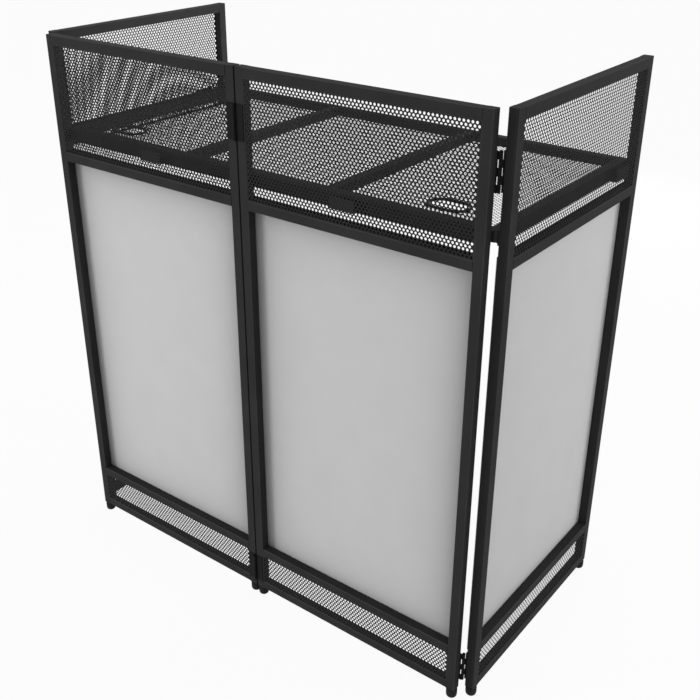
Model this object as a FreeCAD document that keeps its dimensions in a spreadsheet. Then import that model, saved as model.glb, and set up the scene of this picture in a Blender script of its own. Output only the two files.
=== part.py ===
import FreeCAD, Part
import os
import Sketcher

# Folding DJ booth: two front panels and two wings on knuckled hinges, round a lift-out table.
# Lengths are millimetres. X runs to the right, Y to the back and Z up. The origin is on the
# floor, under the middle of the booth.
SIZES = {
    # square steel tube of all frames
    "tube": 19.0,
    "tube_wall": 1.5,
    "tube_corner": 1.2,
    # panels, with the heights of the two perforated windows
    "front_width": 506.0,
    "wing_width": 498.0,
    "frame_height": 1130.0,
    "upper_window": 218.0,
    "lower_window": 69.0,
    "seam_gap": 3.5,
    # round feet with a square plug that pushes into the post
    "foot_height": 22.0,
    "foot_diameter": 22.0,
    "foot_chamfer": 4.0,
    "plug_length": 16.0,
    "plug_clearance": 0.4,
    # five-knuckle hinges
    "hinge_height": 65.0,
    "hinge_standoff": 4.25,
    "leaf_thickness": 2.0,
    "leaf_reach": 19.0,
    "barrel_diameter": 6.0,
    "knuckle_gap": 0.4,
    "notch_clearance": 0.6,
    "pin_diameter": 3.0,
    "pin_clearance": 0.05,
    "pin_end": 1.0,
    "upper_hinge_drop": 64.0,
    "lower_hinge_rise": 18.0,
    # infill sheets, opened as a plain grid between bars
    "mesh_thickness": 0.6,
    "mesh_recess": 1.5,
    "mesh_bar": 12.0,
    # fabric scrims on hook-and-loop tape
    "scrim_thickness": 0.8,
    "scrim_inset": 2.5,
    "scrim_rise": 3.0,
    "tape_width": 14.0,
    "tape_thickness": 1.6,
    # angle ledges that carry the table, and the ties between mesh and ledge
    "ledge_leg": 25.0,
    "ledge_thickness": 3.0,
    "ledge_end_gap": 2.0,
    "tie_width": 52.0,
    "tie_height": 22.0,
    "tie_thickness": 2.0,
    "front_tie_from_seam": 230.0,
    "wing_tie_from_rear": 70.0,
    # lift-out table, its top counted down from the top of the frame
    "table_drop": 193.0,
    "table_tube": 19.0,
    "table_front_gap": 11.0,
    "table_side_gap": 4.0,
    "table_overhang": 3.0,
    "table_corner": 9.0,
    "table_mesh_recess": 0.5,
    "cross_bar_offset": 174.0,
    # cable grommets
    "grommet_length": 82.0,
    "grommet_width": 53.0,
    "grommet_flange": 4.0,
    "grommet_wall": 1.5,
    "grommet_rise": 3.0,
    "grommet_depth": 2.0,
    "grommet_clearance": 0.3,
    "grommet_from_side": 125.25,
    "grommet_from_front": 61.5,
}
KNUCKLES = 5
BARREL_FLATS = 12
PANEL_COLUMNS = 7
UPPER_ROWS = 3
LOWER_ROWS = 1
BAY_COLUMNS = 4
MIDDLE_BAY_ROWS = 6
OUTER_BAY_ROWS = 5
TURN_X = FreeCAD.Vector(1, 0, 0)
TURN_Y = FreeCAD.Vector(0, 1, 0)
TURN_Z = FreeCAD.Vector(0, 0, 1)
TURN_XY = FreeCAD.Vector(1, 1, 0)


class Length:
    """A length with its value and the expression that the document keeps for it."""

    def __init__(self, value, text):
        self.value = value
        self.text = text

    def join(self, sign, other, value):
        return Length(value, f"({self.text} {sign} {other.text})")

    def __add__(self, other):
        other = length(other)
        return self.join("+", other, self.value + other.value)

    def __sub__(self, other):
        other = length(other)
        return self.join("-", other, self.value - other.value)

    def __mul__(self, number):
        return Length(self.value * number, f"({self.text} * {number})")

    def __truediv__(self, number):
        return Length(self.value / number, f"({self.text} / {number})")

    def __neg__(self):
        return Length(-self.value, f"(0 - {self.text})")


def length(number):
    """A plain number as a Length, and a Length as it is."""
    return number if isinstance(number, Length) else Length(float(number), str(number))


doc = FreeCAD.newDocument("dj_booth")
sheet = doc.addObject("Spreadsheet::Sheet", "sizes")
for row, (name, number) in enumerate(SIZES.items(), start=1):
    sheet.set(f"A{row}", name)
    sheet.set(f"B{row}", str(number))
    sheet.setAlias(f"B{row}", name)
doc.recompute()


class Sizes:
    """The driving sizes by name, as Lengths bound to the sheet."""

    def __getattr__(self, name):
        return Length(SIZES[name], f"sizes.{name}")


s = Sizes()

# places that follow from the driving sizes, with Y counted from the front face
front_end = s.seam_gap / 2 + s.front_width
corner_x = front_end + s.hinge_standoff
corner_y = s.tube + s.hinge_standoff
wing_inner_x = corner_x + s.hinge_standoff
wing_outer_x = wing_inner_x + s.tube
wing_front_y = corner_y + s.hinge_standoff
wing_rear_y = wing_front_y + s.wing_width
table_half = wing_inner_x - s.table_side_gap
table_front_y = s.tube + s.table_front_gap
table_rear_y = wing_rear_y + s.table_overhang
hinge_front = s.hinge_standoff + s.barrel_diameter / 2
middle_y = (table_rear_y - hinge_front) / 2
table_top = s.frame_height - s.table_drop
table_bottom = table_top - s.table_tube
mid_rail_top = s.frame_height - s.tube - s.upper_window
lower_rail_top = s.tube * 2 + s.lower_window
mesh_back = s.mesh_recess + s.mesh_thickness
leaf_back = s.hinge_standoff - s.leaf_thickness
notch_reach = s.barrel_diameter / 2 + s.notch_clearance
knuckle_pitch = s.hinge_height / KNUCKLES
bore_diameter = s.pin_diameter + s.pin_clearance * 2


def bind(item, **lengths):
    """Bind properties to lengths; a double underscore in a name stands for a dot."""
    for name, bound in lengths.items():
        item.setExpression(name.replace("__", "."), length(bound).text)


def place(item, x=0, y=0, z=0, axis=TURN_Z, angle=0):
    """Turn an item about an axis through the origin, then move it by bound lengths."""
    item.Placement = FreeCAD.Placement(FreeCAD.Vector(), FreeCAD.Rotation(axis, angle))
    bind(item, Placement__Base__x=x, Placement__Base__y=y, Placement__Base__z=z)
    return item


def node(label, pieces, x=0, y=0, z=0, axis=TURN_Z, angle=0):
    """A named sub-part: its separate solids, placed together."""
    group = doc.addObject("Part::Compound", label)
    group.Label = label
    group.Links = pieces
    return place(group, x, y, z, axis, angle)


def block(name, corner, spans):
    """A plain rectangular piece from its lowest corner and its three spans."""
    item = doc.addObject("Part::Box", name)
    bind(item, Length=spans[0], Width=spans[1], Height=spans[2])
    return place(item, *corner)


def new_sketch(body, name, plane="XY_Plane", x=0, y=0, z=0):
    """A sketch on one of the body's own planes, shifted in that plane's axes."""
    sketch = body.newObject("Sketcher::SketchObject", name)
    base = next(item for item in body.Origin.OriginFeatures if item.Role == plane)
    sketch.AttachmentSupport = [(base, "")]
    sketch.MapMode = "FlatFace"
    bind(sketch, AttachmentOffset__Base__x=x, AttachmentOffset__Base__y=y, AttachmentOffset__Base__z=z)
    return sketch


def rule(sketch, *terms, bound=None):
    """A constraint, with its value bound to a length where it has one."""
    if bound is None:
        return sketch.addConstraint(Sketcher.Constraint(*terms))
    index = sketch.addConstraint(Sketcher.Constraint(*terms, bound.value))
    sketch.setExpression(f"Constraints[{index}]", bound.text)
    return index


def line(sketch, start, end):
    """A straight edge between two points."""
    ends = [FreeCAD.Vector(start[0], start[1], 0), FreeCAD.Vector(end[0], end[1], 0)]
    return sketch.addGeometry(Part.LineSegment(*ends), False)


def arc(sketch, centre, radius, start, end):
    """A round edge, counter-clockwise between two angles in degrees."""
    middle = FreeCAD.Vector(centre[0], centre[1], 0)
    circle = Part.Circle(middle, TURN_Z, radius)
    angles = [FreeCAD.Units.Quantity(f"{turn} deg").getValueAs("rad").Value for turn in (start, end)]
    return sketch.addGeometry(Part.ArcOfCircle(circle, *angles), False)


def circle(sketch, diameter):
    """A circle about the sketch's origin."""
    edge = sketch.addGeometry(Part.Circle(FreeCAD.Vector(), TURN_Z, diameter.value / 2), False)
    rule(sketch, "Coincident", edge, 3, -1, 1)
    rule(sketch, "Diameter", edge, bound=diameter)


def ring_of_flats(sketch, diameter, count):
    """A regular outline of equal flats inside a guide circle about the sketch's origin."""
    radius = diameter.value / 2
    guide = sketch.addGeometry(Part.Circle(FreeCAD.Vector(), TURN_Z, radius), True)
    rule(sketch, "Coincident", guide, 3, -1, 1)
    rule(sketch, "Diameter", guide, bound=diameter)
    turns = [FreeCAD.Rotation(TURN_Z, 360 * number / count) for number in range(count)]
    corners = [turn.multVec(FreeCAD.Vector(radius, 0, 0)) for turn in turns]
    edges = [line(sketch, corners[number], corners[(number + 1) % count]) for number in range(count)]
    for number in range(count):
        rule(sketch, "Coincident", edges[number], 2, edges[(number + 1) % count], 1)
    for number in range(1, count):
        rule(sketch, "Equal", edges[0], edges[number])
    for edge in edges:
        rule(sketch, "PointOnObject", edge, 1, guide)
    rule(sketch, "PointOnObject", edges[0], 1, -1)


def rectangle(sketch, width, height):
    """A rectangle with its lower left corner on the sketch's origin."""
    w, h = width.value, height.value
    corners = [(0, 0), (w, 0), (w, h), (0, h)]
    edges = [line(sketch, corners[turn], corners[(turn + 1) % 4]) for turn in range(4)]
    for turn in range(4):
        rule(sketch, "Coincident", edges[turn], 2, edges[(turn + 1) % 4], 1)
        rule(sketch, "Vertical" if turn % 2 else "Horizontal", edges[turn])
    rule(sketch, "Coincident", edges[0], 1, -1, 1)
    rule(sketch, "DistanceX", edges[0], 1, edges[0], 2, bound=width)
    rule(sketch, "DistanceY", edges[1], 1, edges[1], 2, bound=height)


def bevelled_square(sketch, side, bevel):
    """A square with its four corners cut at 45 degrees, its box set on the sketch's origin."""
    a, b, c = bevel.value, side.value - bevel.value, side.value
    corners = [(a, 0), (b, 0), (c, a), (c, b), (b, c), (a, c), (0, b), (0, a)]
    edges = [line(sketch, corners[turn], corners[(turn + 1) % 8]) for turn in range(8)]
    for turn in range(8):
        rule(sketch, "Coincident", edges[turn], 2, edges[(turn + 1) % 8], 1)
    bottom, low_right, right, high_right, top, high_left, left, low_left = edges
    for edge in (bottom, top):
        rule(sketch, "Horizontal", edge)
    for edge in (right, left):
        rule(sketch, "Vertical", edge)
    rule(sketch, "PointOnObject", bottom, 1, -1)
    rule(sketch, "PointOnObject", left, 1, -2)
    rule(sketch, "DistanceX", left, 1, right, 1, bound=side)
    rule(sketch, "DistanceY", bottom, 1, top, 1, bound=side)
    for edge, first, last in ((low_right, 1, 2), (high_right, 2, 1), (high_left, 2, 1), (low_left, 1, 2)):
        rule(sketch, "DistanceX", edge, first, edge, last, bound=bevel)
    for edge, first, last in ((low_right, 1, 2), (high_right, 1, 2), (high_left, 2, 1), (low_left, 2, 1)):
        rule(sketch, "DistanceY", edge, first, edge, last, bound=bevel)


def oblong(sketch, long_side, short_side):
    """A slot outline with round ends, centred on the sketch's origin."""
    reach = (long_side.value - short_side.value) / 2
    r = short_side.value / 2
    top = line(sketch, (reach, r), (-reach, r))
    left = arc(sketch, (-reach, 0), r, 90, 270)
    bottom = line(sketch, (-reach, -r), (reach, -r))
    right = arc(sketch, (reach, 0), r, -90, 90)
    ring = [top, left, bottom, right]
    for edge, after in zip(ring, ring[1:] + ring[:1]):
        rule(sketch, "Tangent", edge, 2, after, 1)
    rule(sketch, "Symmetric", left, 3, right, 3, -1, 1)
    rule(sketch, "PointOnObject", left, 3, -1)
    rule(sketch, "Radius", left, bound=short_side / 2)
    rule(sketch, "DistanceX", left, 3, right, 3, bound=long_side - short_side)


def pad(body, sketch, depth, name):
    """Material added on a sketch."""
    feature = body.newObject("PartDesign::Pad", name)
    feature.Profile = sketch
    bind(feature, Length=depth)
    return feature


def pocket(body, sketch, depth, name):
    """Material cut away along the sketch's own direction."""
    feature = body.newObject("PartDesign::Pocket", name)
    feature.Profile = sketch
    feature.Reversed = True
    bind(feature, Length=depth)
    return feature


def open_grid(body, name, y, width, height, columns, rows):
    """Equal openings in columns and rows over part of a sheet, from y up, with a bar round each."""
    pitch_x = (width - s.mesh_bar) / columns
    pitch_y = (height - s.mesh_bar) / rows
    opening = new_sketch(body, name + "_opening", x=s.mesh_bar, y=y + s.mesh_bar)
    rectangle(opening, pitch_x - s.mesh_bar, pitch_y - s.mesh_bar)
    cut = pocket(body, opening, s.mesh_thickness, name + "_cut")
    doc.recompute()
    patterns = []
    for axis, count, pitch in (("H_Axis", columns, pitch_x), ("V_Axis", rows, pitch_y)):
        if count > 1:
            pattern = body.newObject("PartDesign::LinearPattern", f"{name}_{axis}_pattern")
            pattern.Direction = (opening, [axis])
            pattern.Occurrences = count
            bind(pattern, Length=pitch * (count - 1))
            patterns.append(pattern)
    grid = body.newObject("PartDesign::MultiTransform", name + "_grid")
    grid.Originals = [cut]
    grid.Transformations = patterns
    body.Tip = grid


def infill(name, width, height, rows):
    """A panel's infill sheet, lying flat with its lower left corner on the origin."""
    body = doc.addObject("PartDesign::Body", name)
    outline = new_sketch(body, name + "_outline")
    rectangle(outline, width, height)
    pad(body, outline, s.mesh_thickness, name + "_plate")
    open_grid(body, name, length(0), width, height, PANEL_COLUMNS, rows)
    return body


def tube(name, side, run, hollow):
    """A square tube standing on its end, hollow from its foot as far as given."""
    body = doc.addObject("PartDesign::Body", name)
    outside = new_sketch(body, name + "_outside")
    bevelled_square(outside, side, s.tube_corner)
    pad(body, outside, run, name + "_pad")
    inside = new_sketch(body, name + "_inside", x=s.tube_wall, y=s.tube_wall)
    room = side - s.tube_wall * 2
    rectangle(inside, room, room)
    pocket(body, inside, hollow, name + "_hollow")
    return body


def across(body, x, y, top):
    """Lay a standing tube along X, with its start, its near face and its top given."""
    return place(body, x, y, top, TURN_Y, 90)


def backwards(body, x, y, top):
    """Lay a standing tube along Y, with its near side, its start and its top given."""
    return place(body, x, y, top, TURN_X, -90)


def foot(name):
    """A round foot with a chamfered tread, turned about its own axis, and a square plug on top."""
    body = doc.addObject("PartDesign::Body", name)
    sketch = new_sketch(body, name + "_profile", "XZ_Plane")
    radius = s.foot_diameter / 2
    r, low, cut = radius.value, -s.foot_height.value, s.foot_chamfer.value
    corners = [(0, low), (r - cut, low), (r, low + cut), (r, 0), (0, 0)]
    edges = [line(sketch, corners[turn], corners[(turn + 1) % 5]) for turn in range(5)]
    for turn in range(5):
        rule(sketch, "Coincident", edges[turn], 2, edges[(turn + 1) % 5], 1)
    tread, slope, side, shoulder, core = edges
    rule(sketch, "Coincident", core, 1, -1, 1)
    rule(sketch, "Horizontal", tread)
    rule(sketch, "Horizontal", shoulder)
    rule(sketch, "Vertical", side)
    rule(sketch, "Vertical", core)
    rule(sketch, "DistanceX", -1, 1, side, 2, bound=radius)
    rule(sketch, "DistanceY", tread, 1, -1, 1, bound=s.foot_height)
    rule(sketch, "DistanceX", slope, 1, slope, 2, bound=s.foot_chamfer)
    rule(sketch, "DistanceY", slope, 1, slope, 2, bound=s.foot_chamfer)
    turned = body.newObject("PartDesign::Revolution", name + "_turned")
    turned.Profile = sketch
    turned.ReferenceAxis = (sketch, ["V_Axis"])
    turned.Angle = 360
    plug_side = s.tube - (s.tube_wall + s.plug_clearance) * 2
    plan = new_sketch(body, name + "_plug_plan", x=-plug_side / 2, y=-plug_side / 2)
    rectangle(plan, plug_side, plug_side)
    pad(body, plan, s.plug_length, name + "_plug")
    return body


def ledge(name, run):
    """An angle with both ends of its flat leg mitred, its upright leg along the X axis."""
    body = doc.addObject("PartDesign::Body", name)
    flat = new_sketch(body, name + "_plan")
    far, deep = run.value, s.ledge_leg.value
    corners = [(0, 0), (far, 0), (far - deep, deep), (deep, deep)]
    edges = [line(flat, corners[turn], corners[(turn + 1) % 4]) for turn in range(4)]
    for turn in range(4):
        rule(flat, "Coincident", edges[turn], 2, edges[(turn + 1) % 4], 1)
    rule(flat, "Horizontal", edges[0])
    rule(flat, "Horizontal", edges[2])
    rule(flat, "Coincident", edges[0], 1, -1, 1)
    rule(flat, "DistanceX", edges[0], 1, edges[0], 2, bound=run)
    rule(flat, "DistanceY", edges[1], 1, edges[1], 2, bound=s.ledge_leg)
    rule(flat, "DistanceX", edges[1], 2, edges[1], 1, bound=s.ledge_leg)
    rule(flat, "DistanceX", edges[3], 2, edges[3], 1, bound=s.ledge_leg)
    pad(body, flat, s.ledge_thickness, name + "_flat_leg")
    upright = new_sketch(body, name + "_edge")
    rectangle(upright, run, s.ledge_thickness)
    pad(body, upright, s.ledge_leg, name + "_upright_leg")
    return body


def tie(name):
    """A folded plate: a flange for the mesh and a web that reaches back to the ledge."""
    body = doc.addObject("PartDesign::Body", name)
    flange = new_sketch(body, name + "_flange_plan")
    rectangle(flange, s.tie_width, s.tie_thickness)
    pad(body, flange, s.tie_height, name + "_flange")
    web = new_sketch(body, name + "_web_plan")
    rectangle(web, s.tie_width, s.tube - mesh_back)
    pad(body, web, s.tie_thickness, name + "_web")
    return body


def hinge_leaf(name, first):
    """A hinge leaf about the Z axis: a plate, every second knuckle from the first, and the bore."""
    body = doc.addObject("PartDesign::Body", name)
    plate = new_sketch(body, name + "_plate_plan", x=notch_reach, y=leaf_back)
    rectangle(plate, s.leaf_reach - notch_reach, s.leaf_thickness)
    pad(body, plate, s.hinge_height, name + "_plate")
    base = knuckle_pitch * first + s.knuckle_gap / 2
    high = knuckle_pitch - s.knuckle_gap
    root = new_sketch(body, name + "_root_plan", y=leaf_back, z=base)
    rectangle(root, notch_reach + s.leaf_thickness, s.leaf_thickness)
    roots = [pad(body, root, high, name + "_root")]
    barrel = new_sketch(body, name + "_barrel_plan", z=base)
    ring_of_flats(barrel, s.barrel_diameter, BARREL_FLATS)
    roots.append(pad(body, barrel, high, name + "_barrel"))
    doc.recompute()
    count = (KNUCKLES + 1 - first) // 2
    row = body.newObject("PartDesign::LinearPattern", name + "_knuckles")
    row.Originals = roots
    row.Direction = (barrel, ["N_Axis"])
    row.Occurrences = count
    bind(row, Length=knuckle_pitch * (2 * (count - 1)))
    body.Tip = row
    bore = new_sketch(body, name + "_bore_plan")
    circle(bore, bore_diameter)
    pocket(body, bore, s.hinge_height, name + "_bore")
    return body


def pin(name, x, y, base):
    """A hinge pin that stands a little out of both ends of its barrel."""
    shank = doc.addObject("Part::Cylinder", name)
    bind(shank, Radius=s.pin_diameter / 2, Height=s.hinge_height + s.pin_end * 2)
    return place(shank, x, y, base - s.pin_end)


def corner_block(name, x, y, angle):
    """A table corner, its outer upright edge rounded, turned to its own corner."""
    body = doc.addObject("PartDesign::Body", name)
    plan = new_sketch(body, name + "_plan")
    side, r = s.table_tube.value, s.table_corner.value
    bottom = line(plan, (r, 0), (side, 0))
    right = line(plan, (side, 0), (side, side))
    top = line(plan, (side, side), (0, side))
    left = line(plan, (0, side), (0, r))
    outer = arc(plan, (r, r), r, 180, 270)
    for edge, after in ((bottom, right), (right, top), (top, left)):
        rule(plan, "Coincident", edge, 2, after, 1)
    rule(plan, "Tangent", left, 2, outer, 1)
    rule(plan, "Tangent", outer, 2, bottom, 1)
    rule(plan, "Horizontal", bottom)
    rule(plan, "Horizontal", top)
    rule(plan, "Vertical", right)
    rule(plan, "Vertical", left)
    rule(plan, "PointOnObject", bottom, 1, -1)
    rule(plan, "PointOnObject", left, 1, -2)
    rule(plan, "Radius", outer, bound=s.table_corner)
    rule(plan, "DistanceX", left, 1, right, 1, bound=s.table_tube)
    rule(plan, "DistanceY", bottom, 2, right, 2, bound=s.table_tube)
    pad(body, plan, s.table_tube, name + "_pad")
    return place(body, x, y, 0, TURN_Z, angle)


def grommet(name, x, y):
    """A cable grommet: an oblong collar through the mesh with a flange on top of it."""
    body = doc.addObject("PartDesign::Body", name)
    flange = new_sketch(body, name + "_flange_plan")
    oblong(flange, s.grommet_length, s.grommet_width)
    slot_length = s.grommet_length - (s.grommet_flange + s.grommet_wall) * 2
    slot_width = s.grommet_width - (s.grommet_flange + s.grommet_wall) * 2
    oblong(flange, slot_length, slot_width)
    pad(body, flange, s.grommet_rise, name + "_flange")
    collar = new_sketch(body, name + "_collar_plan", z=-s.grommet_depth)
    oblong(collar, s.grommet_length - s.grommet_flange * 2, s.grommet_width - s.grommet_flange * 2)
    oblong(collar, slot_length, slot_width)
    pad(body, collar, s.grommet_depth, name + "_collar")
    return place(body, x, y, table_top - s.table_mesh_recess)


def table_sheet(name, x, y, width, run, slot_x=None, slot_y=None):
    """The open sheet of one table bay; a plain strip at its front holds a grommet where it has one."""
    body = doc.addObject("PartDesign::Body", name)
    outline = new_sketch(body, name + "_outline")
    rectangle(outline, width, run)
    pad(body, outline, s.mesh_thickness, name + "_plate")
    if slot_x is None:
        open_grid(body, name, length(0), width, run, BAY_COLUMNS, MIDDLE_BAY_ROWS)
    else:
        hole = new_sketch(body, name + "_hole_outline", x=slot_x, y=slot_y)
        trim = s.grommet_flange * 2 - s.grommet_clearance * 2
        oblong(hole, s.grommet_length - trim, s.grommet_width - trim)
        pocket(body, hole, s.mesh_thickness, name + "_hole")
        strip = slot_y + s.grommet_width / 2
        open_grid(body, name, strip, width, run - strip, BAY_COLUMNS, OUTER_BAY_ROWS)
    return place(body, x, y, table_top - s.table_mesh_recess - s.mesh_thickness)


def make_panel(panel, width, tie_from_start, at):
    """All pieces of one panel: X along it, Y into it from its outer face, Z from the frame's bottom."""
    window = width - s.tube * 2
    far_post = width - s.tube
    posts = []
    feet = []
    for side, x in (("start", length(0)), ("end", far_post)):
        post = tube(f"{panel}_{side}_post", s.tube, s.frame_height, s.frame_height - s.tube_wall)
        posts.append(place(post, x))
        feet.append(place(foot(f"{panel}_{side}_foot"), x + s.tube / 2, s.tube / 2))
    node(f"{panel}_posts", posts, **at)
    node(f"{panel}_feet", feet, **at)
    tops = {
        "top": s.frame_height,
        "mid": mid_rail_top,
        "lower": lower_rail_top,
        "bottom": s.tube,
    }
    rails = []
    for level, top in tops.items():
        rail = tube(f"{panel}_{level}_rail", s.tube, window, window)
        rails.append(across(rail, s.tube, 0, top))
    node(f"{panel}_rails", rails, **at)
    for level, low, high, rows in (
        ("upper", mid_rail_top, s.frame_height - s.tube, UPPER_ROWS),
        ("lower", s.tube, lower_rail_top - s.tube, LOWER_ROWS),
    ):
        sheet_piece = infill(f"{panel}_{level}_sheet", window, high - low, rows)
        place(sheet_piece, s.tube, mesh_back, low, TURN_X, 90)
        node(f"{panel}_{level}_mesh", [sheet_piece], **at)
    low = lower_rail_top - s.tube + s.scrim_inset
    run = mid_rail_top + s.scrim_rise - low
    span = width - s.scrim_inset * 2
    cloth_corner = (s.scrim_inset, s.tube + s.tape_thickness, low)
    cloth = block(f"{panel}_cloth", cloth_corner, (span, s.scrim_thickness, run))
    node(f"{panel}_scrim", [cloth], **at)
    strips = []
    for side, x in (("start", s.scrim_inset), ("end", width - s.scrim_inset - s.tape_width)):
        spans = (s.tape_width, s.tape_thickness, run)
        strips.append(block(f"{panel}_{side}_strip", (x, s.tube, low), spans))
    inner_start = s.scrim_inset + s.tape_width
    for level, z in (("low", low), ("high", low + run - s.tape_width)):
        spans = (width - inner_start * 2, s.tape_thickness, s.tape_width)
        strips.append(block(f"{panel}_{level}_strip", (inner_start, s.tube, z), spans))
    node(f"{panel}_scrim_tape", strips, **at)
    shelf = ledge(f"{panel}_angle", width - s.ledge_end_gap * 2)
    place(shelf, s.ledge_end_gap, s.tube, table_bottom - s.ledge_thickness)
    node(f"{panel}_table_ledge", [shelf], **at)
    plate = place(tie(f"{panel}_tie_plate"), tie_from_start - s.tie_width / 2, mesh_back, table_bottom)
    node(f"{panel}_mesh_tie", [plate], **at)


def make_hinges(joint, x, y, first_leaf, second_leaf):
    """The upper and lower hinge of one joint; each leaf is (node, turning axis, angle, upside down)."""
    upper_base = s.frame_height - s.upper_hinge_drop - s.hinge_height
    levels = (("upper", upper_base), ("lower", s.lower_hinge_rise))
    for first, (leaf, axis, angle, flipped) in enumerate((first_leaf, second_leaf)):
        leaves = []
        for level, base in levels:
            start = base + s.hinge_height if flipped else base
            plate = hinge_leaf(f"{joint}_{level}_{leaf}", first)
            leaves.append(place(plate, x, y, start, axis, angle))
        node(f"{joint}_{leaf}_leaves", leaves, y=-middle_y, z=s.foot_height)
    pins = [pin(f"{joint}_{level}_pin", x, y, base) for level, base in levels]
    node(f"{joint}_pins", pins, y=-middle_y, z=s.foot_height)


def make_table():
    """The lift-out table: tube frame, corners, cross bars, perforated bays and cable grommets."""
    at = {"y": -middle_y, "z": s.foot_height}
    side = s.table_tube
    run_x = (table_half - side) * 2
    run_y = table_rear_y - table_front_y - side * 2
    inner_y = table_front_y + side
    for edge, y in (("front", table_front_y), ("rear", table_rear_y - side)):
        rail = across(tube(f"{edge}_table_tube", side, run_x, run_x), side - table_half, y, table_top)
        node(f"table_{edge}_rail", [rail], **at)
    for edge, x in (("left", -table_half), ("right", table_half - side)):
        rail = backwards(tube(f"{edge}_table_tube", side, run_y, run_y), x, inner_y, table_top)
        node(f"table_{edge}_rail", [rail], **at)
    bars = []
    for edge, middle in (("left", -s.cross_bar_offset), ("right", s.cross_bar_offset)):
        bar = tube(f"{edge}_cross_tube", side, run_y, run_y)
        bars.append(backwards(bar, middle - side / 2, inner_y, table_top))
    node("table_cross_bars", bars, **at)
    corners = [
        corner_block("front_left_corner", -table_half, table_front_y, 0),
        corner_block("front_right_corner", table_half, table_front_y, 90),
        corner_block("rear_right_corner", table_half, table_rear_y, 180),
        corner_block("rear_left_corner", -table_half, table_rear_y, 270),
    ]
    node("table_corners", corners, y=-middle_y, z=s.foot_height + table_bottom)
    bar_edge = s.cross_bar_offset + side / 2
    outer_bay = table_half - side - bar_edge
    slot_x = table_half - s.grommet_from_side
    slot_y = table_front_y + s.grommet_from_front
    grommets = []
    for edge, start, middle in (("left", side - table_half, -slot_x), ("right", bar_edge, slot_x)):
        slot = (middle - start, slot_y - inner_y)
        bay = table_sheet(f"{edge}_bay", start, inner_y, outer_bay, run_y, *slot)
        node(f"table_{edge}_mesh", [bay], **at)
        grommets.append(grommet(f"{edge}_collar", middle, slot_y))
    node("cable_grommets", grommets, **at)
    inner_half = s.cross_bar_offset - side / 2
    bay = table_sheet("middle_bay", -inner_half, inner_y, inner_half * 2, run_y)
    node("table_middle_mesh", [bay], **at)


def check_document():
    """Stop before anything is written if an object failed or a sub-part has no sound shape."""
    for item in doc.Objects:
        if "Invalid" in item.State or "Error" in item.State:
            raise RuntimeError(f"{item.Name} failed: {item.State}")
        if item.isDerivedFrom("PartDesign::Pocket"):
            if item.Shape.Volume >= item.BaseFeature.Shape.Volume:
                raise RuntimeError(f"{item.Name} cut nothing")
    for item in doc.findObjects("Part::Compound"):
        if item.Shape.isNull() or not item.Shape.isValid():
            raise RuntimeError(f"{item.Label} has no sound shape")


front_y = -middle_y
make_panel(
    "left_front", s.front_width, s.front_width - s.front_tie_from_seam,
    {"x": -front_end, "y": front_y, "z": s.foot_height},
)
make_panel(
    "right_front", s.front_width, s.front_tie_from_seam,
    {"x": s.seam_gap / 2, "y": front_y, "z": s.foot_height},
)
make_panel(
    "left_wing", s.wing_width, s.wing_tie_from_rear,
    {"x": -wing_outer_x, "y": wing_rear_y - middle_y, "z": s.foot_height, "angle": -90},
)
make_panel(
    "right_wing", s.wing_width, s.wing_width - s.wing_tie_from_rear,
    {"x": wing_outer_x, "y": wing_front_y - middle_y, "z": s.foot_height, "angle": 90},
)
make_hinges(
    "seam_hinge", length(0), -s.hinge_standoff,
    ("left", TURN_Y, 180, True), ("right", TURN_Z, 0, False),
)
make_hinges(
    "left_corner_hinge", -corner_x, corner_y,
    ("front", TURN_X, 180, True), ("wing", TURN_Z, 90, False),
)
make_hinges(
    "right_corner_hinge", corner_x, corner_y,
    ("front", TURN_Z, 180, False), ("wing", TURN_XY, 180, True),
)
make_table()
doc.recompute()
check_document()
os.makedirs("parts", exist_ok=True)
for sub_part in doc.findObjects("Part::Compound"):
    sub_part.Shape.exportStep(f"parts/{sub_part.Label}.step")
print(len(doc.findObjects("Part::Compound")), "sub-parts written")
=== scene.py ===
from math import radians, tau

import bpy
import numpy as np
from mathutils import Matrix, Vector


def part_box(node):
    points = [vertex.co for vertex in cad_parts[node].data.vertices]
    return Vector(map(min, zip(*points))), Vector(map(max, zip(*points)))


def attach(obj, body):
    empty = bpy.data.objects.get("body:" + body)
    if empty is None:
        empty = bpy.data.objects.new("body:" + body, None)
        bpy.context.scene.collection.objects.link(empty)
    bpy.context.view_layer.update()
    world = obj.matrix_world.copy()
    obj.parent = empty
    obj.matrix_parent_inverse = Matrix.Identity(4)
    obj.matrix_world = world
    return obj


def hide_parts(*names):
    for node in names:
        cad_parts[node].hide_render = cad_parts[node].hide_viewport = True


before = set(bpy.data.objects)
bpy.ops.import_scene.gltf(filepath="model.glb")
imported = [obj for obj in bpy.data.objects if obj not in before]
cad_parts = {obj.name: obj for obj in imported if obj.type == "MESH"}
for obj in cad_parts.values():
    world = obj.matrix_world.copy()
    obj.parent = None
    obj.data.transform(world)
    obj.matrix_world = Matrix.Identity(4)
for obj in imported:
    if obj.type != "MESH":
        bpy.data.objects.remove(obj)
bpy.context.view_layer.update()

MM = 0.001
PANELS = ("left_front", "right_front", "left_wing", "right_wing")
# For each panel and for the table top: the way across its outer side, then the way up it.
FACING = {
    "left_front": ((1, 0, 0), (0, 0, 1)),
    "right_front": ((1, 0, 0), (0, 0, 1)),
    "left_wing": ((0, -1, 0), (0, 0, 1)),
    "right_wing": ((0, 1, 0), (0, 0, 1)),
    "table": ((0, 1, 0), (-1, 0, 0)),
}
# From the right half of the table to the left half.
MIRROR = np.array([-1, 1, 1])


# Finishes

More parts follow.
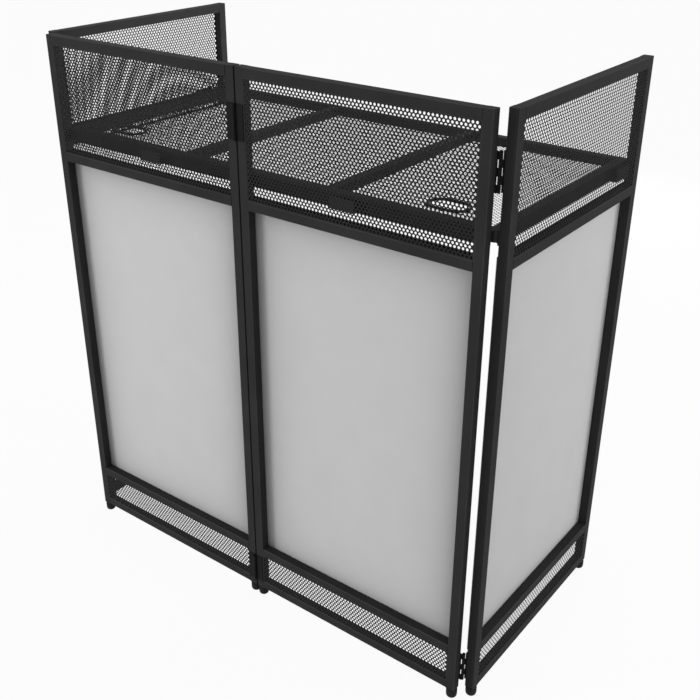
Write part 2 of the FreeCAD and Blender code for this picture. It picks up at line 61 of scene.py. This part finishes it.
def add(tree, kind, values=None, **settings):
    """A node with its settings, and a value or a link for each input that is named or numbered."""
    made = tree.nodes.new(kind)
    for label, value in settings.items():
        setattr(made, label, value)
    for label, value in (values or {}).items():
        if isinstance(value, bpy.types.NodeSocket):
            tree.links.new(value, made.inputs[label])
        else:
            made.inputs[label].default_value = value
    return made


def maths(tree, operation, *values):
    """The result of a maths operation on one or two values or links."""
    return add(tree, "ShaderNodeMath", dict(enumerate(values)), operation=operation).outputs[0]


def remap(tree, value, start=0.0, end=1.0, to_start=0.0, to_end=1.0):
    """A value's range from start to end carried to another range, and held at its ends."""
    made = add(tree, "ShaderNodeMapRange", {
        "Value": value, "From Min": start, "From Max": end, "To Min": to_start, "To Max": to_end,
    })
    return made.outputs["Result"]


def mix(tree, share, first, second):
    """The first colour, changed into the second by a share."""
    made = add(tree, "ShaderNodeMix", {0: share, 6: first, 7: second}, data_type="RGBA")
    return made.outputs[2]


def noise(tree, place, scale, detail):
    """The outputs of a noise with that many waves per metre and octaves of detail."""
    values = {"Vector": place, "Scale": scale, "Detail": detail}
    return add(tree, "ShaderNodeTexNoise", values).outputs


def grey(level):
    """A neutral colour of that linear level."""
    return (level, level, level, 1.0)


def surface_group(name, inputs):
    """A node group with these inputs, and with a colour, a roughness and a height to put out."""
    group = bpy.data.node_groups.new(name, "ShaderNodeTree")
    outputs = {"Colour": "NodeSocketColor", "Roughness": "NodeSocketFloat", "Height": "NodeSocketFloat"}
    for label, value in inputs.items():
        kind = "NodeSocketColor" if isinstance(value, tuple) else "NodeSocketFloat"
        socket = group.interface.new_socket(label, in_out="INPUT", socket_type=kind)
        socket.default_value = value
    for label, kind in outputs.items():
        group.interface.new_socket(label, in_out="OUTPUT", socket_type=kind)
    return group, group.nodes.new("NodeGroupInput").outputs


def put_out(group, colour, roughness, height):
    """The group, with its three results linked."""
    add(group, "NodeGroupOutput", {"Colour": colour, "Roughness": roughness, "Height": height})
    return group


# The largest part of the normal on a tube's flat side, and on the bevel of its corner.
FLAT_NORMAL = 0.95
BEVEL_NORMAL = 0.8
# Painted highlight on the bevelled corners: the share of its colour that a corner shows where the
# highlight is faintest.
LEAST_CORNER_HIGHLIGHT = 0.6


def make_coat_group():
    """Sprayed or moulded finish: fine grain for the bump, and slow patches for the tint and the gloss.

    Faces that point askew are the bevelled corners of the tubes. There a painted highlight makes the coat
    lighter in patches.
    """
    tree, given = surface_group("coat_grain", {
        "Colour": grey(0.01), "Patch Colour": grey(0.02), "Corner Highlight Colour": grey(0.03),
        "Painted Corner Highlight": 0.0, "Grain": 700.0, "Smoothest": 0.4, "Roughest": 0.5,
    })
    coords = add(tree, "ShaderNodeTexCoord").outputs
    grain = noise(tree, coords["Object"], scale=given["Grain"], detail=1.5)["Fac"]
    slow = noise(tree, coords["Object"], scale=9.0, detail=4.0)["Fac"]
    patch = remap(tree, slow, start=0.35, end=0.65)
    tint = mix(tree, patch, given["Colour"], given["Patch Colour"])
    facing = add(tree, "ShaderNodeVectorMath", {0: coords["Normal"]}, operation="ABSOLUTE")
    along = add(tree, "ShaderNodeSeparateXYZ", {"Vector": facing.outputs[0]}).outputs
    level = maths(tree, "MAXIMUM", along["X"], along["Y"])
    square = maths(tree, "MAXIMUM", level, along["Z"])
    # Painted highlight along the bevelled corners, in patches.
    askew = remap(tree, square, start=FLAT_NORMAL, end=BEVEL_NORMAL, to_end=given["Painted Corner Highlight"])
    patchy = remap(tree, patch, to_start=LEAST_CORNER_HIGHLIGHT)
    corner_highlight = maths(tree, "MULTIPLY", askew, patchy)
    highlighted = mix(tree, corner_highlight, tint, given["Corner Highlight Colour"])
    gloss = remap(tree, patch, to_start=given["Smoothest"], to_end=given["Roughest"])
    return put_out(tree, colour=highlighted, roughness=gloss, height=grain)


def make_knit_group():
    """Stretch knit on the cloth's own metres: ribs across and courses up, as two sine waves multiplied."""
    tree, given = surface_group("stretch_knit", {
        "Colour": grey(0.5), "Between Threads": grey(0.45), "Painted Shade Colour": grey(0.2),
        "Ribs per Metre": 1100.0, "Courses per Metre": 1500.0,
    })
    metres = add(tree, "ShaderNodeTexCoord").outputs["UV"]
    place = add(tree, "ShaderNodeSeparateXYZ", {"Vector": metres}).outputs
    waves = []
    for axis, count in (("X", "Ribs per Metre"), ("Y", "Courses per Metre")):
        turns = maths(tree, "MULTIPLY", place[axis], given[count])
        angle = maths(tree, "MULTIPLY", turns, tau)
        waves.append(remap(tree, maths(tree, "SINE", angle), start=-1.0))
    loop = maths(tree, "MULTIPLY", *waves)
    uneven = noise(tree, metres, scale=14.0, detail=3.0)["Fac"]
    thread = remap(tree, maths(tree, "ADD", loop, uneven), start=0.3, end=1.4)
    tint = mix(tree, thread, given["Between Threads"], given["Colour"])
    # Painted shade: the cloth is darkened towards its edges, by the amount in its edge shade attribute.
    edge = add(tree, "ShaderNodeAttribute", attribute_name="painted_edge_shade").outputs["Fac"]
    with_painted_shade = mix(tree, edge, tint, given["Painted Shade Colour"])
    rough = remap(tree, thread, to_start=0.95, to_end=0.82)
    return put_out(tree, colour=with_painted_shade, roughness=rough, height=loop)


# How far the pile's loops are bent out of their even cells.
LOOP_BEND = 2.0 * MM


def make_pile_group():
    """Hook-and-loop pile: tangled loops as warped cells a millimetre across, with matted patches."""
    tree, given = surface_group("loop_pile", {
        "Colour": grey(0.02), "Painted Deep Shade Colour": grey(0.004), "Loops per Metre": 900.0,
    })
    spot = add(tree, "ShaderNodeTexCoord").outputs["Object"]
    bend = noise(tree, spot, scale=400.0, detail=2.0)["Color"]
    shift = add(tree, "ShaderNodeVectorMath", {0: bend, "Scale": LOOP_BEND}, operation="SCALE")
    moved = add(tree, "ShaderNodeVectorMath", {0: spot, 1: shift.outputs[0]}, operation="ADD")
    cells = {"Vector": moved.outputs[0], "Scale": given["Loops per Metre"]}
    loops = add(tree, "ShaderNodeTexVoronoi", cells).outputs["Distance"]
    matted = noise(tree, spot, scale=60.0, detail=3.0)["Fac"]
    # Painted shade: the pile is darker down between its loops, where they lie deep.
    depth = maths(tree, "MULTIPLY", loops, matted)
    share = remap(tree, depth, end=0.4, to_start=1.0, to_end=0.0)
    tint = mix(tree, share, given["Painted Deep Shade Colour"], given["Colour"])
    rough = remap(tree, matted, to_start=0.8, to_end=1.0)
    return put_out(tree, colour=tint, roughness=rough, height=share)


def finish_from(name, group, values, bump, depth, shader):
    """A finish whose colour, roughness and bump come from one node group, with its shader's constants."""
    material = bpy.data.materials.new(name)
    material.use_nodes = True
    tree = material.node_tree
    surface = tree.nodes["Principled BSDF"]
    source = add(tree, "ShaderNodeGroup", values, node_tree=group).outputs
    relief = add(tree, "ShaderNodeBump", {
        "Strength": bump, "Distance": depth, "Height": source["Height"],
    })
    for label, value in shader.items():
        surface.inputs[label].default_value = value
    tree.links.new(source["Colour"], surface.inputs["Base Color"])
    tree.links.new(source["Roughness"], surface.inputs["Roughness"])
    tree.links.new(relief.outputs["Normal"], surface.inputs["Normal"])
    return material


def coat_finish(name, tones, grain, gloss, bump, depth, specular, corner_highlight_tone=None):
    """A coat of two tones, with its grain per metre and its least and greatest roughness."""
    values = {
        "Colour": grey(tones[0]), "Patch Colour": grey(tones[1]),
        "Grain": grain, "Smoothest": gloss[0], "Roughest": gloss[1],
    }
    # A corner tone paints a lighter highlight on the bevelled corners of the tubes.
    if corner_highlight_tone is not None:
        values["Corner Highlight Colour"] = grey(corner_highlight_tone)
        values["Painted Corner Highlight"] = 1.0
    return finish_from(name, coat, values, bump, depth, {"Specular IOR Level": specular})


coat = make_coat_group()
FINISHES = {
    # The frame's corner tone is a painted highlight along the tubes' bevelled corners.
    "frame_paint": coat_finish(
        "frame_powder_coat", tones=(0.030, 0.035), grain=800.0, gloss=(0.44, 0.52),
        bump=0.25, depth=0.3 * MM, specular=0.01, corner_highlight_tone=0.065,
    ),
    "mesh_paint": coat_finish(
        "mesh_powder_coat", tones=(0.024, 0.028), grain=900.0, gloss=(0.48, 0.56),
        bump=0.2, depth=0.2 * MM, specular=0.01,
    ),
    "hinge_paint": coat_finish(
        "hinge_black_lacquer", tones=(0.012, 0.016), grain=1200.0, gloss=(0.36, 0.46),
        bump=0.15, depth=0.2 * MM, specular=0.02,
    ),
    "foot_rubber": coat_finish(
        "foot_moulded_rubber", tones=(0.014, 0.02), grain=500.0, gloss=(0.6, 0.75),
        bump=0.3, depth=0.4 * MM, specular=0.1,
    ),
    "grommet_plastic": coat_finish(
        "grommet_moulded_plastic", tones=(0.010, 0.013), grain=1500.0, gloss=(0.36, 0.44),
        bump=0.2, depth=0.2 * MM, specular=0.08,
    ),
    "hook_and_loop": finish_from(
        "tape_loop_pile", make_pile_group(), {}, bump=0.8, depth=1.0 * MM,
        shader={"Specular IOR Level": 0.2},
    ),
    "scrim_cloth": finish_from(
        "scrim_stretch_knit", make_knit_group(),
        {"Colour": grey(0.615), "Between Threads": grey(0.57)}, bump=0.25, depth=0.3 * MM,
        shader={"Specular IOR Level": 0.15, "Sheen Weight": 0.15, "Sheen Roughness": 0.5},
    ),
}
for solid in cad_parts.values():
    solid.material_slots[0].material = FINISHES[solid.material_slots[0].material.name]


# What every surface uses

def placed(name, data):
    """A new object in the scene for a mesh, a light or a camera."""
    made = bpy.data.objects.new(name, data)
    bpy.context.scene.collection.objects.link(made)
    return made


def piece(name, points, faces, body, slot, stands_for, smooth=False):
    """A mesh of faces with equally many corners, with its finish, its body and the solid it stands for."""
    mesh = bpy.data.meshes.new(name)
    mesh.vertices.add(len(points))
    mesh.vertices.foreach_set("co", np.asarray(points, np.float32).ravel())
    mesh.loops.add(faces.size)
    mesh.loops.foreach_set("vertex_index", np.asarray(faces, np.int32).ravel())
    mesh.polygons.add(len(faces))
    starts = np.arange(0, faces.size, faces.shape[1], dtype=np.int32)
    mesh.polygons.foreach_set("loop_start", starts)
    mesh.polygons.foreach_set("use_smooth", np.full(len(faces), smooth))
    mesh.update(calc_edges=True)
    mesh.materials.append(FINISHES[slot])
    made = placed(name, mesh)
    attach(made, body)
    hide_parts(stands_for)
    return made


def seen_from_outside(node, body):
    """The axes across, up and out of a node's outer side, and its box along them."""
    across, up = np.array(FACING[body], float)
    axes = np.array([across, up, np.cross(across, up)])
    ends = axes @ np.array(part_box(node)).T
    return axes, ends.min(1), ends.max(1)


def halves(quads):
    """Each four-sided face cut into two triangles."""
    return np.concatenate([quads[:, [0, 1, 2]], quads[:, [0, 2, 3]]])


def grid_quads(rows, columns, closed):
    """Faces of a grid of points; closed joins its last column to the first."""
    wide = columns if closed else columns - 1
    row, column = np.meshgrid(np.arange(rows - 1), np.arange(wide), indexing="ij")
    after = (column + 1) % columns
    lower, upper = row * columns, (row + 1) * columns
    corners = [lower + column, lower + after, upper + after, upper + column]
    return np.stack(corners, -1).reshape(-1, 4)


# Perforated sheets

# Pitch along a row and from row to row.
PANEL_PITCH = (7.67 * MM, 5.74 * MM)
TABLE_PITCH = (7.8 * MM, 5.87 * MM)
# Radius of the holes.
FRONT_RADII = {"upper": 2.36 * MM, "lower": 2.45 * MM}
WING_RADII = {"upper": 2.63 * MM, "lower": 2.97 * MM}
TABLE_RADIUS = 3.3 * MM
# Plain strip below the first row and above the last one.
SHEET_MARGIN = 1.0 * MM
SHEET_THICKNESS = 0.3 * MM
# Half length of the straight core of a cable passage, and the radius of its slot in the sheet.
PASSAGE_CORE = 14.5 * MM
SLOT_RADIUS = 22.8 * MM
# Least metal between a hole and a slot.
LEAST_WEB = 0.8 * MM
# Stands in for a distance of zero in a division.
LEAST_DISTANCE = 1e-9
CELL_CORNERS = 6
RIM_POINTS = 2 * CELL_CORNERS
# Direction of a cell's first corner from its middle, in degrees.
FIRST_CORNER = 210
# Triangles of a cell without a hole, by its corners.
PLAIN_CELL = np.array([[0, 1, 5], [1, 4, 5], [1, 3, 4], [1, 2, 3]])


def staggered_borders(columns, rows, pitch, rise, height):
    """Points of the borders along the rows of holes, one at every half pitch.

    They are raised and lowered in turn by the pitch squared over eight times the rise, which puts each
    equally far from the three holes around it. The first and the last border are straight.
    """
    level, step = np.meshgrid(np.arange(rows + 1), np.arange(2 * columns + 1), indexing="ij")
    lift = pitch * pitch / (8 * rise)
    wave = np.where((level + step) % 2 == 0, lift, -lift)
    inner = SHEET_MARGIN + level * rise + wave
    up = np.where(level == 0, 0, np.where(level == rows, height, inner))
    return np.stack([step * pitch / 2, up], -1).reshape(-1, 2)


def staggered_cells(columns, rows, pitch, rise):
    """The corners and the middle of each six-sided cell, and the triangles of the plain half cells.

    Odd rows start half a pitch in, so they have one cell less and a half cell at each end.
    """
    count = 2 * columns + 1
    row, number = np.meshgrid(np.arange(rows), np.arange(columns), indexing="ij")
    start = 2 * number + row % 2
    whole = start + 2 < count
    row, start = row[whole], start[whole]
    cells = (row * count + start)[:, None] + np.array([0, 1, 2, count + 2, count + 1, count])
    middles = np.stack([(start + 1) * pitch / 2, SHEET_MARGIN + (row + 0.5) * rise], -1)
    odd = np.arange(1, rows, 2)[:, None] * count + np.array([0, 2 * columns - 1])
    ends = halves(odd.reshape(-1, 1) + np.array([0, 1, count + 1, count]))
    return cells, middles, ends


def off_core(points, centre):
    """The way to each point from the nearest place on the core of a slot, which runs up the sheet."""
    core = np.array([0, PASSAGE_CORE])
    away = points - centre
    return away - np.clip(away, -core, core)


def cut_slot(border, cells, middles, radius, centre):
    """An oblong slot in a sheet: its border points, the cells that are left, and those with a hole.

    A point inside the slot moves straight away from its core to its edge. Cells that lie inside it go, and
    those that touch it, or whose hole would come too near, stay plain.
    """
    away = off_core(border, centre)
    distance = np.linalg.norm(away, axis=1)[:, None]
    on_edge = border - away + SLOT_RADIUS * away / np.maximum(distance, LEAST_DISTANCE)
    inside = distance < SLOT_RADIUS
    touched = inside[cells, 0]
    web = np.linalg.norm(off_core(middles, centre), axis=1) - SLOT_RADIUS - radius
    pierced = ~touched.any(1) & (web > LEAST_WEB)
    return np.where(inside, on_edge, border), ~touched.all(1), pierced


def cell_around_hole():
    """Triangles of a cell around its hole, with its six corners numbered before the twelve rim points."""
    corner = np.arange(CELL_CORNERS)
    after = (corner + 1) % CELL_CORNERS
    near = CELL_CORNERS + 2 * corner
    between = near + 1
    return np.concatenate([
        np.stack([corner, after, between], -1),
        np.stack([corner, between, near], -1),
        np.stack([after, near[after], between], -1),
    ])


def perforated_plan(width, height, pitches, radius, slot_centre):
    """Points and triangles of a flat sheet with round holes in staggered rows.

    Each hole sits in a six-sided cell. A rim point is the cell's middle plus the radius times the cosine
    and the sine of its turn, twelve to a hole, and these join to the six corners of the cell.
    """
    columns, rows = round(width / pitches[0]), round(height / pitches[1])
    pitch, rise = width / columns, (height - 2 * SHEET_MARGIN) / rows
    border = staggered_borders(columns, rows, pitch, rise, height)
    cells, middles, ends = staggered_cells(columns, rows, pitch, rise)
    left = pierced = np.ones(len(cells), bool)
    if slot_centre is not None:
        border, left, pierced = cut_slot(border, cells, middles, radius, slot_centre)
    turn = radians(FIRST_CORNER) + np.arange(RIM_POINTS) * tau / RIM_POINTS
    rim = radius * np.stack([np.cos(turn), np.sin(turn)], -1)
    rims = (middles[pierced][:, None] + rim).reshape(-1, 2)
    numbers = len(border) + np.arange(len(rims)).reshape(-1, RIM_POINTS)
    open_cells = np.hstack([cells[pierced], numbers])
    plain_cells = cells[left & ~pierced]
    triangles = np.concatenate([
        open_cells[:, cell_around_hole()].reshape(-1, 3),
        plain_cells[:, PLAIN_CELL].reshape(-1, 3),
        ends,
    ])
    used, renumbered = np.unique(triangles, return_inverse=True)
    return np.concatenate([border, rims])[used], renumbered.reshape(-1, 3)


def perforated_sheet(node, body, pitches, radius, slot_middle=None):
    """A perforated plan given its thickness: front and back faces, and a wall along every free edge.

    An edge is free where no other triangle runs along it the opposite way.
    """
    axes, low, high = seen_from_outside(node, body)
    width, height = (high - low)[:2]
    slot_centre = None if slot_middle is None else (axes @ slot_middle - low)[:2]
    plan, triangles = perforated_plan(width, height, pitches, radius, slot_centre)
    count = len(plan)
    front = np.column_stack([plan + low[:2], np.full(count, high[2])])
    back = front - [0, 0, SHEET_THICKNESS]
    edges = triangles[:, [0, 1, 1, 2, 2, 0]].reshape(-1, 2)
    free = edges[~np.isin(edges @ [count, 1], edges @ [1, count])]
    walls = np.column_stack([free[:, 0], free[:, 0] + count, free[:, 1] + count, free[:, 1]])
    faces = np.concatenate([triangles, triangles[:, ::-1] + count, halves(walls)])
    points = np.concatenate([front, back]) @ axes
    piece(node + "_perforated", points, faces, body, "mesh_paint", node)


# Cloth

CLOTH_ROWS = 121
CLOTH_COLUMNS = 77
# The part of the solid's thickness that the cloth takes up.
CLOTH_SHARE = 0.9
# Pull lines: their depth, their number in a full turn, how fast they fade, and where they are deepest.
PULL_DEPTH = 0.35 * MM
PULL_LINES = 18
PULL_REACH = 90 * MM
PULL_START = 30 * MM
# Painted shade: how far the front cloths darken towards their left, right, bottom and top edges.
PAINTED_EDGE_SHADE = (0.72, 0.88, 0.34, 0.68)
NO_PAINTED_SHADE = (0.0, 0.0, 0.0, 0.0)
# Width of the evenly dark band of painted shade along an edge, and how fast it fades from there.
EDGE_BAND = 16 * MM
EDGE_FADE = 35 * MM


def scrim(panel):
    """Stretched cloth: a flat grid, with shallow pull lines that fan out from its corners and fade inward.

    The depth of a line is a cosine of the angle about the nearest corner, times a decay with the distance
    to that corner, and it grows from nothing at the corner. The painted shade decays with the distance to
    an edge.
    """
    node = panel + "_scrim"
    axes, low, high = seen_from_outside(node, panel)
    width, height, thickness = high - low
    rows, columns = np.linspace(0, 1, CLOTH_ROWS), np.linspace(0, 1, CLOTH_COLUMNS)
    up, across = np.meshgrid(rows * height, columns * width, indexing="ij")
    beside, over = np.minimum(across, width - across), np.minimum(up, height - up)
    away = np.hypot(beside, over)
    wave = 0.5 - 0.5 * np.cos(PULL_LINES * np.arctan2(over, beside))
    sag = PULL_DEPTH * wave * np.exp(-away / PULL_REACH) * np.clip(away / PULL_START, 0, 1)
    points = np.stack([across + low[0], up + low[1], high[2] - sag], -1).reshape(-1, 3) @ axes
    faces = grid_quads(CLOTH_ROWS, CLOTH_COLUMNS, closed=False)
    cloth = piece(node + "_cloth", points, faces, panel, "scrim_cloth", node, smooth=True)

    metres = np.stack([across, up], -1).reshape(-1, 2)[faces.ravel()]
    layer = cloth.data.uv_layers.new(name="cloth_metres")
    layer.data.foreach_set("uv", metres.astype(np.float32).ravel())
    # Painted shade on the front cloths, darker towards each edge; the wings get none.
    darkest = np.array(PAINTED_EDGE_SHADE if "front" in panel else NO_PAINTED_SHADE).reshape(4, 1, 1)
    past_band = np.stack([across, width - across, up, height - up]) - EDGE_BAND
    shade = 1 - np.prod(1 - darkest * np.exp(-np.maximum(past_band, 0) / EDGE_FADE), axis=0)
    values = cloth.data.attributes.new("painted_edge_shade", "FLOAT", "POINT").data
    values.foreach_set("value", shade.astype(np.float32).ravel())

    solid = cloth.modifiers.new("cloth_thickness", "SOLIDIFY")
    solid.thickness = thickness * CLOTH_SHARE
    solid.offset = -1


# Feet

# Radius and height: tread, round heel, barrel, shoulder, and the short neck that meets the post.
FOOT_PROFILE = np.array([
    (5.6, 0.0), (7.2, 0.3), (8.6, 1.1), (9.7, 2.4), (10.5, 4.2), (10.9, 6.4), (11.0, 9.0), (11.0, 15.5),
    (10.9, 17.6), (10.6, 18.9), (10.1, 19.7), (9.4, 20.1), (8.9, 20.4), (8.7, 21.0), (8.7, 22.0),
]) * MM
FOOT_SIDES = 40


def turned_foot():
    """Points and triangles of the foot's profile turned about an upright axis, with a fan over each end.

    A point is its radius times the cosine and the sine of its turn, at its own height.
    """
    turn = np.arange(FOOT_SIDES) * tau / FOOT_SIDES
    radius, height = FOOT_PROFILE[:, :1], FOOT_PROFILE[:, 1:]
    level = height + np.zeros_like(turn)
    rings = np.stack([radius * np.cos(turn), radius * np.sin(turn), level], -1)
    wall = rings.reshape(-1, 3)
    ends = np.array([[0, 0, height[0, 0]], [0, 0, height[-1, 0]]])
    side = np.arange(FOOT_SIDES)
    after = (side + 1) % FOOT_SIDES
    last_ring = len(wall) - FOOT_SIDES
    tread, neck = np.full(FOOT_SIDES, len(wall)), np.full(FOOT_SIDES, len(wall) + 1)
    faces = np.concatenate([
        halves(grid_quads(len(FOOT_PROFILE), FOOT_SIDES, closed=True)),
        np.stack([tread, after, side], -1),
        np.stack([neck, last_ring + side, last_ring + after], -1),
    ])
    return np.concatenate([wall, ends]), faces


def feet(panel):
    """Two turned feet, one at each end of the solid feet's box."""
    node = panel + "_feet"
    low, high = np.array(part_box(node))
    run = int(np.argmax((high - low)[:2]))
    radius = FOOT_PROFILE[:, 0].max()
    near = (low + high) / 2
    near[2] = low[2]
    far = near.copy()
    near[run] = low[run] + radius
    far[run] = high[run] - radius
    foot, faces = turned_foot()
    points = np.concatenate([foot + near, foot + far])
    faces = np.concatenate([faces, faces + len(foot)])
    piece(node + "_turned", points, faces, panel, "foot_rubber", node, smooth=True)


# Grommets

# Distance out from the passage's edge and height over the sheet, once round the section.
GROMMET_PROFILE = np.array([
    (0.0, -1.7), (0.0, 1.0), (0.2, 1.9), (0.7, 2.6), (1.4, 2.95), (2.3, 3.0), (3.6, 2.8), (4.6, 2.2),
    (5.2, 1.4), (5.5, 0.5), (5.4, 0.02), (1.8, 0.02), (1.5, -0.3), (1.5, -1.7), (1.2, -2.0), (0.3, -2.0),
]) * MM
# Radius of the passage, and points round each of its ends.
PASSAGE_RADIUS = 21 * MM
END_POINTS = 25


def grommets():
    """Two collars: the closed section carried round an oblong. The middle of the right one is returned.

    A point is the end of the passage's core, plus its radius and the section's distance out along the
    turn, at the section's height.
    """
    node = "cable_grommets"
    low, high = np.array(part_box(node))
    right, left = np.linspace(-90, 90, END_POINTS), np.linspace(90, 270, END_POINTS)
    turn = np.radians(np.concatenate([right, left]))
    end = np.repeat([PASSAGE_CORE, -PASSAGE_CORE], END_POINTS)
    out, up = GROMMET_PROFILE[:, :1], GROMMET_PROFILE[:, 1:]
    reach = PASSAGE_RADIUS + out
    level = up + np.zeros_like(turn)
    section = np.stack([end + reach * np.cos(turn), reach * np.sin(turn), level], -1)
    collar = section.reshape(-1, 3)
    # The row past the last one is the first row again, which closes the section.
    faces = grid_quads(len(section) + 1, len(turn), closed=True)[:, ::-1] % len(collar)
    half_length = PASSAGE_CORE + reach.max()
    middle = np.array([high[0] - half_length, (low[1] + high[1]) / 2, high[2] - up.max()])
    points = np.concatenate([collar + middle, collar + middle * MIRROR])
    faces = np.concatenate([faces, faces + len(collar)])
    piece(node + "_moulded", points, faces, "table", "grommet_plastic", node, smooth=True)
    return middle


for panel in PANELS:
    radii = FRONT_RADII if "front" in panel else WING_RADII
    perforated_sheet(panel + "_upper_mesh", panel, PANEL_PITCH, radii["upper"])
    perforated_sheet(panel + "_lower_mesh", panel, PANEL_PITCH, radii["lower"])
    scrim(panel)
    feet(panel)
right_slot = grommets()
for bay, slot in (("left", right_slot * MIRROR), ("middle", None), ("right", right_slot)):
    perforated_sheet(f"table_{bay}_mesh", "table", TABLE_PITCH, TABLE_RADIUS, slot)


# Floor, light and camera

def seen_directly(tree):
    """1 for camera, glossy and transmitted rays, 0 for the light that falls on the object."""
    path = add(tree, "ShaderNodeLightPath").outputs
    camera_or_glossy = maths(tree, "MAXIMUM", path["Is Camera Ray"], path["Is Glossy Ray"])
    return maths(tree, "MAXIMUM", camera_or_glossy, path["Is Transmission Ray"])


def white_room(level, overhead):
    """The world: white to the eye and in reflections, with a soft light that fades overhead."""
    world = bpy.data.worlds.new("white_room")
    world.use_nodes = True
    tree = world.node_tree
    tree.nodes.clear()
    shown = add(tree, "ShaderNodeBackground", {"Color": grey(1.0), "Strength": 1.0})
    around = add(tree, "ShaderNodeTexCoord").outputs["Generated"]
    height = add(tree, "ShaderNodeSeparateXYZ", {"Vector": around}).outputs["Z"]
    fade = remap(tree, height, to_start=level, to_end=overhead)
    light = add(tree, "ShaderNodeBackground", {"Color": grey(1.0), "Strength": fade})
    mixed = add(tree, "ShaderNodeMixShader", {
        0: seen_directly(tree), 1: light.outputs[0], 2: shown.outputs[0],
    })
    add(tree, "ShaderNodeOutputWorld", {"Surface": mixed.outputs[0]})
    bpy.context.scene.world = world


def pale_floor(size, tone, shadow):
    """A flat sheet under the feet: pale to the light, and white to the eye but for a share of shading."""
    material = bpy.data.materials.new("pale_floor")
    material.use_nodes = True
    tree = material.node_tree
    tree.nodes.clear()
    matt = add(tree, "ShaderNodeBsdfDiffuse", {"Color": grey(tone)})
    white = add(tree, "ShaderNodeEmission", {"Color": grey(1.0), "Strength": 1.0})
    share = maths(tree, "MULTIPLY", seen_directly(tree), 1.0 - shadow)
    mixed = add(tree, "ShaderNodeMixShader", {0: share, 1: matt.outputs[0], 2: white.outputs[0]})
    add(tree, "ShaderNodeOutputMaterial", {"Surface": mixed.outputs[0]})
    half = size / 2
    corners = [(-half, -half, 0), (half, -half, 0), (half, half, 0), (-half, half, 0)]
    mesh = bpy.data.meshes.new("floor")
    mesh.from_pydata(corners, [], [(0, 1, 2, 3)])
    mesh.materials.append(material)
    placed("floor", mesh)


def soft_light(name, place, turn, size, watts, spread=180):
    """A square soft box, whose grid keeps its light within the spread."""
    lamp = bpy.data.lights.new(name, "AREA")
    lamp.size = size
    lamp.energy = watts
    lamp.spread = radians(spread)
    made = placed(name, lamp)
    made.location = place
    made.rotation_euler = [radians(angle) for angle in turn]
    made.visible_camera = False
    made.visible_glossy = False


white_room(level=0.82, overhead=0.37)
pale_floor(size=60.0, tone=0.82, shadow=0.06)
soft_light("front_box", place=(-4.1, -4.5, 1.4), turn=(82, 0, -42), size=2.0, watts=156)
soft_light("side_box", place=(2.3, 1.4, 1.2), turn=(80, 0, 122), size=1.2, watts=19)
soft_light("back_box", place=(-0.3, 3.2, 1.3), turn=(80, 0, 184), size=1.6, watts=24)
soft_light("wing_box", place=(0.5, 0.75, 0.86), turn=(90, 0, 128), size=0.5, watts=2.0, spread=60)

camera = bpy.data.cameras.new("camera")
camera.sensor_width = 36.0
camera.lens = 50.9225
camera.shift_x = 0.015636
camera.shift_y = -0.02231
eye = placed("camera", camera)
eye.location = (1.19091, -1.51007, 1.49428)
eye.rotation_euler = (radians(63.547), 0.0, radians(37.603))
bpy.context.scene.camera = eye
bpy.context.scene.view_settings.view_transform = "Standard"
